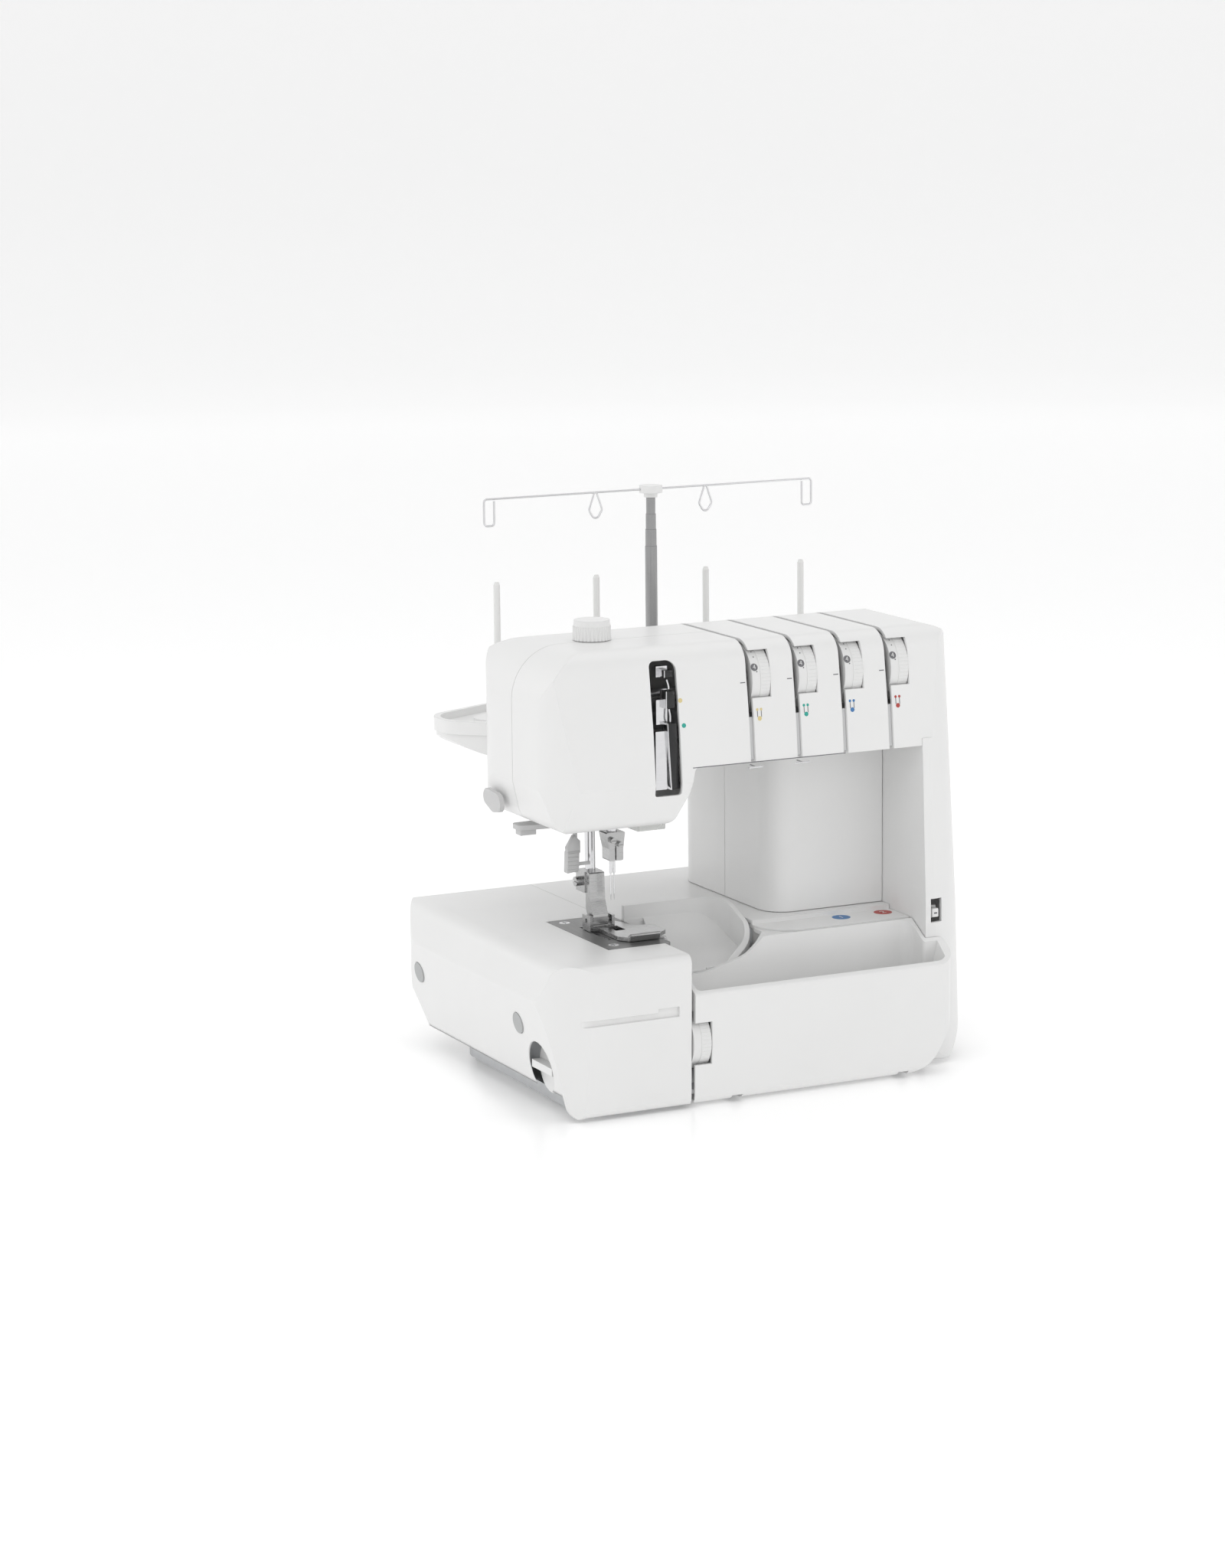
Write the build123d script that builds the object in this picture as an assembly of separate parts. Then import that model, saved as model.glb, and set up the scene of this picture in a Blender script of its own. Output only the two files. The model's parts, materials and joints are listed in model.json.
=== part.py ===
"""Serger overlock machine: casings, covers, drive, loopers, knives, foot, dials and thread stand."""

import os
from math import cos, pi, radians, sin

from build123d import *

# Drawing datum: x = 0 at the joint between the left casing and the front cover, y = 0 at the
# front face, z = 0 at the table. At export everything is moved so that the part's origin is
# the centre of the box it stands in, at table height.

# Overall envelope
casing_left = -98.0
casing_right = 227.0
casing_back = 264.0
foot_height = 1.5
bed_height = 102.0
ledge_height = 99.0
arm_top = 295.0
arm_low = 217.0
head_low = 181.0
head_left = -84.0
arm_back = 162.0
column_left = 100.0
column_front = 80.0
column_back = 218.0
column_top = 202.0
pillar_left = 186.0
pillar_front = 22.5
wall = 2.5
arm_wall = 2.2
joint_gap = 0.4

# Needle, foot and plate
plate_x = (-40.5, 5.0)
plate_y = (38.0, 132.0)
plate_thickness = 3.0
needle_x, needle_y = -14.0, 86.0
needle_pitch = 2.4
needle_tip = 123.0
clamp_low, clamp_high = 150.0, 169.0
presser_x, presser_y = -20.0, 107.0
bar_radius = 3.5
sole_low = bed_height + 0.4

seam_y = 87.0
knob_x, knob_y = -24.0, 92.0

# Tension units: slots in the arm front, each with a thumb wheel to its right
slot_x = (60.0, 94.3, 128.6, 162.9)
slot_width = 3.4
dial_radius = 23.0
dial_width = 13.0
dial_y, dial_z = 56.0, 268.7

# Drive train
shaft_y, shaft_z = 150.0, 60.0
shaft_radius = 6.0
upper_y, upper_z = 118.0, 250.0
upper_radius = 5.0
motor_y, motor_z = 212.0, 40.0
motor_radius = 24.0
running_clearance = 0.06
timing_radius = 12.0
drive_pulley_radius = 26.0
motor_pulley_radius = 6.5

# Front cover
cover_x = (2.3, 198.0)
cover_back = 42.0
cover_front_rim = 75.0
cover_back_rim = 100.0
hinge_y, hinge_z = 12.0, 12.0
hinge_radius = 2.5
width_dial_y, width_dial_z = 18.6, 42.5

# Thread stand
stand_y = 208.0
mast_x = 77.5
pin_offsets = (-116.0, -41.8, 41.8, 116.0)
pin_radius = 2.25
pin_top = 320.0
tray_low, tray_seam, tray_rim = 206.0, 222.0, 231.0
mast_radii = (4.15, 3.85, 3.5, 3.15)
mast_tops = (337.0, 348.5, 359.0, 370.0)
mast_wall = 0.28
antenna_z = 376.0


def outline(points):
    """Face bounded by corners given as (u, v, corner radius)."""
    corners = [(u, v) for u, v, radius in points]
    radii = [radius for u, v, radius in points]
    return make_face(FilletPolyline(*corners, radius=radii, close=True))


def along_x(points, x0, x1):
    """Extrudes a (y, z) outline from x0 to x1."""
    plane = Plane(origin=(x0, 0, 0), x_dir=(0, 1, 0), z_dir=(1, 0, 0))
    return extrude(plane * outline(points), amount=x1 - x0)


def along_y(points, y0, y1):
    """Extrudes an (x, z) outline from y0 to y1."""
    plane = Plane(origin=(0, y1, 0), x_dir=(1, 0, 0), z_dir=(0, -1, 0))
    return extrude(plane * outline(points), amount=y1 - y0)


def along_z(points, z0, z1):
    """Extrudes an (x, y) outline from z0 to z1."""
    plane = Plane(origin=(0, 0, z0), x_dir=(1, 0, 0), z_dir=(0, 0, 1))
    return extrude(plane * outline(points), amount=z1 - z0)


def block(x0, x1, y0, y1, z0, z1):
    """Box between two corners."""
    centre = Pos((x0 + x1) / 2, (y0 + y1) / 2, (z0 + z1) / 2)
    return centre * Box(x1 - x0, y1 - y0, z1 - z0)


def rod_x(x0, x1, y, z, radius):
    """Cylinder along X."""
    return Pos((x0 + x1) / 2, y, z) * Rot(0, 90, 0) * Cylinder(radius, x1 - x0)


def rod_y(y0, y1, x, z, radius):
    """Cylinder along Y."""
    return Pos(x, (y0 + y1) / 2, z) * Rot(90, 0, 0) * Cylinder(radius, y1 - y0)


def rod_z(z0, z1, x, y, radius):
    """Cylinder along Z."""
    return Pos(x, y, (z0 + z1) / 2) * Cylinder(radius, z1 - z0)


def group(solids):
    """Separate solids kept together as one node."""
    return Compound(children=[solid for shape in solids for solid in shape.solids()])


def lower_body(inset):
    """Outer form of the base and bed, drawn in by inset."""
    low = foot_height if inset == 0 else -20.0
    side = along_x(
        [
            (1.5 + inset, low, 6 if inset == 0 else 0),
            (-0.5 + inset, bed_height - inset, 6 - inset),
            (256 - inset, bed_height - inset, 16 - inset),
            (casing_back - inset, 70, 20 - inset),
            (212 - inset * 0.6, low, 40 if inset == 0 else 0),
        ],
        casing_left - 5,
        casing_right + 5,
    )
    front = along_y(
        [
            (-84 + inset, low, 10 if inset == 0 else 0),
            (casing_left + inset, 76, 3),
            (-91 + inset, bed_height - inset, 10 - inset),
            (casing_right - 3 - inset, bed_height - inset, 0),
            (casing_right - inset, 30, 12 - inset),
            (206, low, 16 if inset == 0 else 0),
        ],
        -10,
        casing_back + 10,
    )
    plan = along_z(
        [
            (casing_left + inset, -0.5 + inset, 34 - inset),
            (casing_left + inset, casing_back - inset, 46 - inset),
            (casing_right - inset, casing_back - inset, 30 - inset),
            (casing_right - inset, -0.5 + inset, 30 - inset),
        ],
        -25,
        bed_height + 5,
    )
    return side & front & plan


def upper_body(inset, right_end=False):
    """Outer form of the arm and head, drawn in by inset, with the right end's corner if asked."""
    side = along_x(
        [
            (32 + inset, head_low + inset, 6 - inset),
            (27 + inset, 208, 0),
            (30 + inset, 242, 0),
            (37.5 + inset, arm_top - inset, 16 - inset),
            (arm_back - inset, arm_top - inset, 38 - inset),
            (arm_back - inset, head_low + inset, 10 - inset),
        ],
        head_left - 5,
        casing_right + 5,
    )
    front = along_y(
        [
            (-78 + inset, head_low + inset, 12 - inset),
            (3 - inset, head_low + inset, 10 - inset),
            (14 - inset, 201, 6),
            (18 - inset, arm_low + inset, 3),
            (221.35 - inset, arm_low + inset, 0),
            (219 - inset, arm_top - inset, 24 - inset),
            (head_left + inset, arm_top - inset, 34 - inset),
            (head_left + inset, 208, 0),
        ],
        20,
        arm_back + 10,
    )
    plan = along_z(
        [
            (head_left + inset, 26.5 + inset, 25 - inset),
            (head_left + inset, arm_back - inset, 45 - inset),
            (222 - inset, arm_back - inset, 30 - inset),
            (222 - inset, 26.5 + inset, 0),
        ],
        head_low - 5,
        arm_top + 5,
    )
    form = side & front & plan
    return form & end_plan(inset) if right_end else form


def end_plan(inset):
    """Plan form of the right end with its large front corner, drafted towards the top."""
    faces = []
    for z, right, front in ((-25, 229.0, 21.8), (110, 224.9, 22.0), (222, 221.5, 26.8), (320, 218.6, 32.0)):
        corners = [
            (-150, front - 40, 0),
            (-150, casing_back + 1 - inset, 0),
            (right - inset, casing_back + 1 - inset, 30 - inset),
            (right - inset, front + inset, 38 - inset),
            (120, front + inset, 0),
            (120, front - 40, 0),
        ]
        faces.append(Pos(0, 0, z) * outline(corners))
    return loft(faces, ruled=True)


def column_body(inset):
    """Outer form of the upright column between bed and arm, drawn in by inset."""
    plan = along_z(
        [
            (column_left + inset, column_front + inset, 18 - inset),
            (column_left + inset, column_back - inset, 24 - inset),
            (casing_right - inset, column_back - inset, 30 - inset),
            (casing_right - inset, column_front + inset, 0),
        ],
        bed_height + joint_gap,
        arm_low - joint_gap,
    )
    return plan


def base_pan():
    """Floor plate that closes the machine from below, with an upturned rim."""
    rim = 2.5
    left, right, back = -76, 200, 205
    outer = [(left, 14, 18), (left, back, 30), (right, back, 12), (right, 48, 20), (-3, 48, 0), (-3, 14, 4)]
    inner = [
        (left + rim, 14 + rim, 15.5),
        (left + rim, back - rim, 27.5),
        (right - rim, back - rim, 9.5),
        (right - rim, 48 + rim, 17.5),
        (-3 - rim, 48 + rim, 0),
        (-3 - rim, 14 + rim, 1.5),
    ]
    pan = along_z(outer, 4, 12) - along_z(inner, 6.5, 13)
    for x in knuckle_places():
        strap = block(x, x + 6, 8, 52, 4, 6.5)
        knuckle = block(x, x + 6, 7.5, 16.5, 4, 16.5)
        pan = pan + strap + knuckle
    return pan - rod_x(0, 190, hinge_y, hinge_z, hinge_radius + running_clearance)


def knuckle_places():
    """Left edges of the two hinge knuckles of the front cover."""
    return (31.0, 155.0)


def rubber_feet():
    """Five round feet under the pan."""
    places = ((-60, 65), (-60, 185), (60, 125), (165, 62), (165, 190))
    return group([rod_z(0, 4, x, y, 9) for x, y in places])


def selector_centre():
    """Centre of the stitch selector in the left side, as (x, y, z)."""
    return (-86.5, 38.0, 30.0)


def left_casing():
    """Left casing: cloth plate, left side and front in one moulding."""
    keep = block(casing_left - 1, -joint_gap / 2, -5, casing_back + 5, 0, bed_height + 1)
    shell = (lower_body(0) & keep) - lower_body(wall)
    plate_hole = block(
        plate_x[0] - joint_gap,
        1,
        plate_y[0] - joint_gap,
        plate_y[1] + joint_gap,
        90,
        bed_height + 1,
    )
    grip_slot = block(-78, -9, -5, 3.2, 62.5, 66.5)
    slot_end = block(-24, -9, -5, 3.2, 66, 69)
    grip_back = block(-80, -7, 3.2 - 1.2, 5.0, 60, 71)
    x, y, z = selector_centre()
    selector_hole = rod_x(x - 20, x + 20, y, z, 17.5)
    plugs = [rod_x(-101, -80, y, 55, 7.1) for y in plug_places()]
    shell = shell - plate_hole - grip_slot - slot_end - selector_hole
    for hole in plugs:
        shell = shell - hole
    return shell + (grip_back & lower_body(0.1))


def plug_places():
    """Depths of the two rubber plugs in the left side."""
    return (62.0, 222.0)


def side_plugs():
    """Two soft plugs in the left side."""
    plugs = [rod_x(-96.2, -90.0, y, 55, 6.9) for y in plug_places()]
    return group([plug & lower_body(0.15) for plug in plugs])


def bed_housing():
    """Rear and middle part of the bed, behind the front cover and right of the left casing."""
    keep = block(joint_gap / 2, pillar_left - joint_gap, 43, casing_back + 5, 0, bed_height + 1)
    shell = (lower_body(0) & keep) - lower_body(wall)
    x1 = pillar_left - joint_gap
    bay = along_z([(-5, 30, 0), (-5, 114, 0), (81, 114, 24), (81, 70, 0), (81, 30, 0)], 90, bed_height + 1)
    bay = bay - block(81, 120, 30, 200, 80, 120)
    belt_hole = block(105, 181, 86, 210, 90, bed_height + 1)
    low_top = along_z([(81, 82, 0), (81, 43, 26), (x1, 43, 0), (x1, 82, 0)], ledge_height - wall, ledge_height)
    step = block(81, x1, 70, 72.5, ledge_height - wall, bed_height - 0.5)
    shell = shell - block(78, 260, 40, 70, 80, 110)
    front_wall = along_z([(81, 82, 0), (81, 43, 26), (x1, 43, 0), (x1, 82, 0)], 60, ledge_height)
    front_wall = front_wall - along_z([(83.5, 90, 0), (83.5, 45.5, 23.5), (x1 + 9, 45.5, 0), (x1 + 9, 90, 0)], 50, 110)
    front_wall = front_wall - block(70, 260, 70, 100, 50, 110) + low_top + step
    plate_seat = block(-1, plate_x[1] + joint_gap, plate_y[0] - joint_gap, plate_y[1] + joint_gap, 90, 110)
    return shell + (front_wall - block(60, x1, 40, 71, 100, 110)) - bay - belt_hole - plate_seat


def needle_plate():
    """Steel plate under the foot, with feed slots, stitch finger and countersunk screw holes."""
    x0, x1 = plate_x
    y0, y1 = plate_y
    plate = along_z(
        [(x0, y0, 5), (x0, y1, 5), (x1, y1, 3), (x1, y0, 3)],
        bed_height - plate_thickness,
        bed_height,
    )
    for x in feed_rows():
        plate = plate - block(x - 1.6, x + 1.6, 64, 106, 90, bed_height + 1)
    plate = plate - block(needle_x - 4, needle_x + 6, needle_y - 2.2, needle_y + 2.2, 90, 103)
    for y in plate_screw_places():
        plate = plate - rod_z(90, 110, -31, y, 2.1)
        plate = plate - Pos(-31, y, bed_height - 0.9) * Cone(2.1, 3.9, 1.8)
    return plate


def feed_rows():
    """Centres of the three rows of feed teeth."""
    return (needle_x - 13.0, needle_x - 8.0, needle_x + 9.5)


def plate_screw_places():
    """Depths of the two screws of the needle plate."""
    return (50.0, 124.0)


def plate_screws():
    """Two countersunk screws with a cross recess."""
    screws = []
    for y in plate_screw_places():
        head = Pos(-31, y, bed_height - 0.95) * Cone(2.0, 3.7, 1.7)
        shank = rod_z(bed_height - 9, bed_height - 1.7, -31, y, 1.9)
        cross = block(-33.2, -28.8, y - 0.45, y + 0.45, bed_height - 1, bed_height + 1)
        turned = block(-31.45, -30.55, y - 2.2, y + 2.2, bed_height - 1, bed_height + 1)
        screws.append(head + shank - cross - turned)
    return group(screws)


def main_frame():
    """Cast frame: foot, upright and arm beam, with shaft and bar bores."""
    foot = block(-66, 176, 132, 186, 14, 24)
    plate_post = block(-60, -44, 60, 146, 14, 96)
    plate_shelf = block(-60, -42, 44, 146, 88, 96)
    left_block = block(10, 28, 136, 164, 14, 76)
    right_block = block(164, 178, 136, 164, 14, 78)
    post = block(112, 142, 128, 156, 14, 240)
    beam = block(-62, 142, 100, 136, 224, 242)
    head_plate = block(-62, -2, 76, 120, 224, 232)
    arm_left = block(6, 18, 104, 134, 230, 266)
    arm_right = block(116, 138, 104, 136, 230, 268)
    frame = foot + plate_post + plate_shelf + left_block + right_block + post + beam
    frame = frame + head_plate + arm_left + arm_right
    frame = frame - block(-14, 3, 99, 137, 234, 243)
    frame = frame - rod_x(0, 200, shaft_y, shaft_z, shaft_radius + running_clearance)
    frame = frame - rod_x(-80, 200, upper_y, upper_z, upper_radius + running_clearance)
    frame = frame - rod_z(200, 300, needle_x, needle_y, bar_radius + running_clearance)
    frame = frame - rod_z(200, 300, presser_x, presser_y, bar_radius + running_clearance)
    return frame


def slot_cut(x, y0):
    """Thread slot across the arm's front and top at x."""
    return block(x - slot_width / 2, x + slot_width / 2, y0, 140, 200, arm_top + 5)


def dial_window(x):
    """Opening for a thumb wheel, right of the slot at x."""
    return block(x, x + slot_width / 2 + dial_width + 1.0, 20, 60, 258.2, 288.6)


def take_up_opening():
    """Tall slot in the head for the needle threads."""
    return along_y([(-11, 200.5, 2), (-11, 287, 4), (8, 287, 7), (8, 200.5, 2)], 20, 60)


def head_cover():
    """Front shell of the head and the left part of the arm."""
    keep = block(head_left - 1, slot_x[0] - slot_width / 2, 20, seam_y, head_low - 1, arm_top + 1)
    shell = (upper_body(0) & keep) - upper_body(arm_wall)
    bar_opening = block(-44, 10, 62, 120, head_low - 5, head_low + 8)
    return shell - take_up_opening() - bar_opening


def tension_plates():
    """Three front plates between the thread slots, each with a window for its wheel."""
    plates = []
    for left, right in zip(slot_x[:-1], slot_x[1:]):
        x0 = left + slot_width / 2
        x1 = right - slot_width / 2
        keep = block(x0, x1, 20, 130, arm_low - 1, arm_top + 1)
        plate = (upper_body(0) & keep) - upper_body(arm_wall) - dial_window(left)
        plates.append(plate - block(column_left + wall, 170, 96, 131, arm_low - 1, arm_low + 4))
    return group(plates)


def right_cover():
    """Right end of the machine: pillar, right side and top corner in one moulding."""
    x0 = slot_x[-1] + slot_width / 2
    keep = block(x0, 240, 20, 300, arm_low - 1, arm_top + 1)
    outer = (upper_body(0, True) & keep) + pillar_form(0, pillar_left)
    inner = upper_body(arm_wall, True) + pillar_form(wall, pillar_left + wall)
    behind = pillar_form(wall, 170) & block(170, 195, 82.5, 300, -25, arm_low - 0.4)
    shell = outer - inner - behind - dial_window(slot_x[-1])
    shell = shell - rod_x(200, 260, shaft_y, shaft_z, hand_wheel_radius() + 1.0)
    shell = shell - block(185, 188.6, 44, 82.6, -5, 14)
    return shell - slider_slot(0.0) - switch_opening() - inlet_opening()


def pillar_form(inset, left):
    """Outer form of the right end from table to arm, drawn in by inset and cut off at left."""
    low = foot_height if inset == 0 else -20.0
    front = along_y(
        [
            (left, low, 0),
            (206, low, 16 if inset == 0 else 0),
            (227 - inset, 30, 12 - inset),
            (221.2 - inset, arm_low + 5, 0),
            (left, arm_low + 5, 0),
        ],
        -10,
        casing_back + 10,
    )
    side = along_x(
        [
            (pillar_front + inset, low, 8 if inset == 0 else 0),
            (pillar_front + inset, 110, 0),
            (27.6 + inset, arm_low + 5, 0),
            (arm_back - inset, arm_low + 5, 0),
            (arm_back - inset, column_top + 1, 0),
            (column_back - inset, column_top - inset, 14 - inset),
            (column_back - inset, bed_height + 6, 0),
            (256 - inset, bed_height - inset, 10 - inset),
            (casing_back - inset, 70, 20 - inset),
            (212 - inset * 0.6, low, 40 if inset == 0 else 0),
        ],
        150,
        casing_right + 5,
    )
    return front & side & end_plan(inset)


def hand_wheel_radius():
    """Outer radius of the hand wheel."""
    return 31.0


def switch_opening():
    """Cut-out for the rocker switch in the right side."""
    return block(215, 240, 200.5, 219.5, 55.5, 68.5)


def inlet_opening():
    """Cut-out for the socket panel in the right side."""
    return block(215, 240, 195, 225, 22, 50)


def slider_slot(inset):
    """Recess of the adjuster in the pillar front."""
    return block(190 + inset, 199 - inset, 20, 40, 98 + inset, 114 - inset)


def rear_housing():
    """Back of the arm and head, with the back and the shoulder of the column."""
    x0 = slot_x[-1] + slot_width / 2
    x1 = pillar_left - joint_gap
    arm_keep = block(head_left - 1, x0 - joint_gap, seam_y + joint_gap, 300, head_low - 1, arm_top + 1)
    arm = (upper_body(0) & arm_keep) - upper_body(arm_wall)
    arm = arm - block(-44, 10, 62, 120, head_low - 5, head_low + 8)
    for left, right in zip(slot_x[:-1], slot_x[1:]):
        arm = arm - block(left - 1.7, right + 1.7, 80, 130.4, arm_low - 2, arm_top + 2)
    arm = arm - block(column_left + wall, x0, 80, arm_back - wall, arm_low - 2, arm_low + 4)
    arm = arm - rod_z(arm_top - 10, arm_top + 1, knob_x, knob_y, 3.4)
    column = column_body(0) & block(90, x1, 206.4, 300, 90, column_top)
    column = column - (column_body(wall) & block(90, 300, 0, 300, 90, column_top - wall))
    cap = column_body(0) & block(90, x1, arm_back - wall, 212, column_top - wall, column_top)
    riser = block(104, x0 - joint_gap, arm_back - wall, arm_back, column_top - wall, arm_low + 2)
    return arm + column + cap + riser


def column_covers():
    """Alcove panel under the arm and the separate left cover of the column."""
    form = column_body(0) - column_body(wall)
    panel = form & block(90, pillar_left - joint_gap, 70, 144.8, 90, arm_low - joint_gap)
    low = form & block(90, 130, 145.2, 206, 90, column_top - wall - joint_gap)
    high = form & block(90, 130, 145.2, arm_back - wall - joint_gap, 90, arm_low - joint_gap)
    return group([panel, low + high])


def front_cover():
    """Hinged looper cover with the open waste tray in its top."""
    x0, x1 = cover_x
    side = along_x(
        [
            (1.5, foot_height + 0.5, 7),
            (-0.5, cover_front_rim, 2.5),
            (cover_back, cover_back_rim, 2),
            (cover_back, foot_height + 0.5, 4),
        ],
        x0 - 1,
        x1 + 1,
    )
    front = along_y(
        [
            (x0, foot_height + 0.5, 3),
            (x1 - 22, foot_height + 0.5, 30),
            (x1, 40, 40),
            (x1, 110, 0),
            (x0, 110, 0),
        ],
        -5,
        60,
    )
    plan = along_z(
        [
            (x0, -0.5, 0),
            (x0, cover_back, 4),
            (pillar_left - 0.6, cover_back, 1),
            (pillar_left - 0.6, pillar_front - 0.5, 1),
            (x1, pillar_front - 0.5, 3),
            (x1, -0.5, 15),
        ],
        -5,
        110,
    )
    form = side & front & plan
    tray = along_z(
        [(x0 + 3, 2.8, 3), (x0 + 3, 39, 6), (182.4, 39, 8), (182.4, 19, 2), (x1 - 3, 19, 1), (x1 - 3, 2.8, 12)],
        0,
        120,
    )
    tray_shape = along_y(
        [(0, 67, 0), (34, 66, 20), (70, 48, 20), (184, 46, 24), (200, 120, 0), (0, 120, 0)],
        -5,
        60,
    )
    under = along_y(
        [
            (x0 - 1, -5, 0),
            (x0 - 1, 64, 0),
            (32, 63, 20),
            (68, 45, 20),
            (176, 43, 10),
            (188, 30, 6),
            (180, -5, 0),
        ],
        2.8,
        60,
    )
    floor = block(x0 - 1, x1, 0, 18, 0, 5) & form
    lugs = group([block(x, x + 8, 6, 17, 4, 18) for x in (20, 165)])
    cover = form - (tray & tray_shape) - under
    cover = cover + (floor & block(x0, 184, 0, 18, 0, 5))
    cover = cover + (lugs & block(x0, x1, 2, 30, 2.5, 60))
    for x in knuckle_places():
        cover = cover - block(x - 0.8, x + 6.8, 2.9, 60, 0, 24)
    cover = cover - rod_x(0, 210, hinge_y, hinge_z, hinge_radius + running_clearance)
    window = block(x0 - 1, 14.5, -5, 60, 28.5, 56.5)
    chute = along_y(
        [(x0 - 1, 78, 0), (30, 79, 20), (60, 87, 20), (76, 101, 0), (76, 125, 0), (x0 - 1, 125, 0)], 20, 60
    )
    cover = cover - chute
    lobe = along_z(
        [(60, 39.5, 0), (62, 42.6, 0), (79.6, 54, 0), (79.9, 66, 0), (92, 45, 0), (105, 39.5, 0)], 60, 110
    )
    slope = along_y(
        [(58, 80, 0), (66, 88, 0), (80, 98, 0), (108, 98, 0), (108, 95, 0), (80, 95, 0), (66, 85, 0), (58, 77, 0)],
        30,
        75,
    )
    corner = rod_z(90, 112, 107, 69, 26.5)
    cover = cover + ((lobe & slope) - corner)
    return cover - window


def cover_hinge_rod():
    """Rod on which the front cover turns and slides."""
    return rod_x(6, 186, hinge_y, hinge_z, hinge_radius)


def chip_shield():
    """Waste chute around the looper bay: curved guard with a floor falling towards the tray."""
    outer = along_z([(6, 43.6, 0), (6, 113.5, 0), (79, 113.5, 24), (79, 62, 26), (50, 43.6, 12)], 58, 118)
    inner = along_z(
        [(-1, 30, 0), (-1, 110, 0), (75.5, 110, 20.5), (75.5, 64, 22.5), (49, 47.1, 10), (30, 43, 0), (30, 30, 0)],
        50,
        120,
    )
    rim = along_x(
        [(40, 50, 0), (40, 80, 0), (47, 82, 5), (70, 100, 30), (100, 112, 20), (130, 112, 0), (130, 50, 0)], 0, 90
    )
    above = along_x([(30, 79, 0), (62, 80.5, 40), (94, 86, 30), (111, 104, 0), (111, 130, 0), (30, 130, 0)], -5, 90)
    below = along_x([(30, 40, 0), (30, 76.5, 0), (62, 78, 40), (94, 83, 30), (108, 98, 0), (108, 40, 0)], -5, 90)
    shield = (outer & rim) - (inner & above) - (inner & below)
    return shield - block(0, 20, 30, 109.9, 50, 120)


def hand_wheel():
    """Hand wheel with the belt pulley on its hub."""
    rim = rod_x(225, 237, shaft_y, shaft_z, hand_wheel_radius())
    dish = rod_x(233, 240, shaft_y, shaft_z, hand_wheel_radius() - 6)
    boss = rod_x(232, 235.5, shaft_y, shaft_z, 9)
    hub = rod_x(202, 226, shaft_y, shaft_z, 12)
    pulley = rod_x(206, 214, shaft_y, shaft_z, drive_pulley_radius)
    groove = rod_x(207.5, 212.5, shaft_y, shaft_z, 30) - rod_x(
        207.5, 212.5, shaft_y, shaft_z, drive_pulley_radius - 2
    )
    wheel = rim - dish + boss + hub + pulley - groove
    for step in range(24):
        angle = 2 * pi * step / 24
        y = shaft_y + hand_wheel_radius() * cos(angle)
        z = shaft_z + hand_wheel_radius() * sin(angle)
        wheel = wheel - rod_x(224, 240, y, z, 1.4)
    return wheel - rod_x(190, 224, shaft_y, shaft_z, shaft_radius)


def main_shaft():
    """Main shaft with its timing pulley and the feed eccentric."""
    shaft = rod_x(-10, 224, shaft_y, shaft_z, shaft_radius)
    pulley = rod_x(148, 160, shaft_y, shaft_z, timing_radius)
    eccentric = rod_x(32, 40, shaft_y, shaft_z + 2, 10)
    return shaft + pulley + eccentric


def motor():
    """Drive motor, lying behind the main shaft."""
    can = rod_x(110, 172, motor_y, motor_z, motor_radius)
    nose = rod_x(172, 176, motor_y, motor_z, 10)
    return can + nose - rod_x(160, 190, motor_y, motor_z, 3.06)


def motor_pulley():
    """Motor spindle with its small pulley."""
    spindle = rod_x(162, 216, motor_y, motor_z, 3.0)
    pulley = rod_x(206, 214, motor_y, motor_z, motor_pulley_radius)
    groove = rod_x(207.5, 212.5, motor_y, motor_z, 12) - rod_x(
        207.5, 212.5, motor_y, motor_z, motor_pulley_radius - 1.5
    )
    return spindle + pulley - groove


def belt(y0, z0, r0, y1, z1, r1, x0, x1, thickness):
    """Closed flat belt around two pulleys whose axes run along X."""
    spread = ((y1 - y0) ** 2 + (z1 - z0) ** 2) ** 0.5
    plane = Plane(
        origin=(x0, y0, z0),
        x_dir=(0, (y1 - y0) / spread, (z1 - z0) / spread),
        z_dir=(1, 0, 0),
    )
    lean = (r0 - r1) / spread
    rise = (1 - lean**2) ** 0.5

    def loop(grow):
        big = r0 + grow
        small = r1 + grow
        top = [(big * lean, big * rise), (spread + small * lean, small * rise)]
        bottom = [(spread + small * lean, -small * rise), (big * lean, -big * rise)]
        edges = [
            Line(top[0], top[1]),
            ThreePointArc(top[1], (spread + small, 0), bottom[0]),
            Line(bottom[0], bottom[1]),
            ThreePointArc(bottom[1], (-big, 0), top[0]),
        ]
        return make_face(edges)

    band = loop(thickness) - loop(0)
    return extrude(plane * band, amount=x1 - x0)


def drive_belts():
    """Motor belt and the timing belt up the column."""
    motor_belt = belt(
        shaft_y,
        shaft_z,
        drive_pulley_radius - 1.9,
        motor_y,
        motor_z,
        motor_pulley_radius - 1.4,
        208,
        212,
        1.6,
    )
    timing = belt(
        shaft_y, shaft_z, timing_radius + 0.1, upper_y, upper_z, timing_radius + 0.1, 149, 159, 1.8
    )
    return group([motor_belt, timing])


def upper_shaft():
    """Arm shaft with timing pulley and the crank disc that drives the needle bar."""
    shaft = rod_x(-2, 164, upper_y, upper_z, upper_radius)
    pulley = rod_x(148, 160, upper_y, upper_z, timing_radius)
    disc = rod_x(-8, -2, upper_y, upper_z, 13)
    crank = rod_x(-12, -8, upper_y, upper_z + 9, 2.5)
    return shaft + pulley + disc + crank


def needle_bar():
    """Needle bar, sliding in the frame."""
    return rod_z(clamp_low + 8, 274, needle_x, needle_y, bar_radius)


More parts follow.
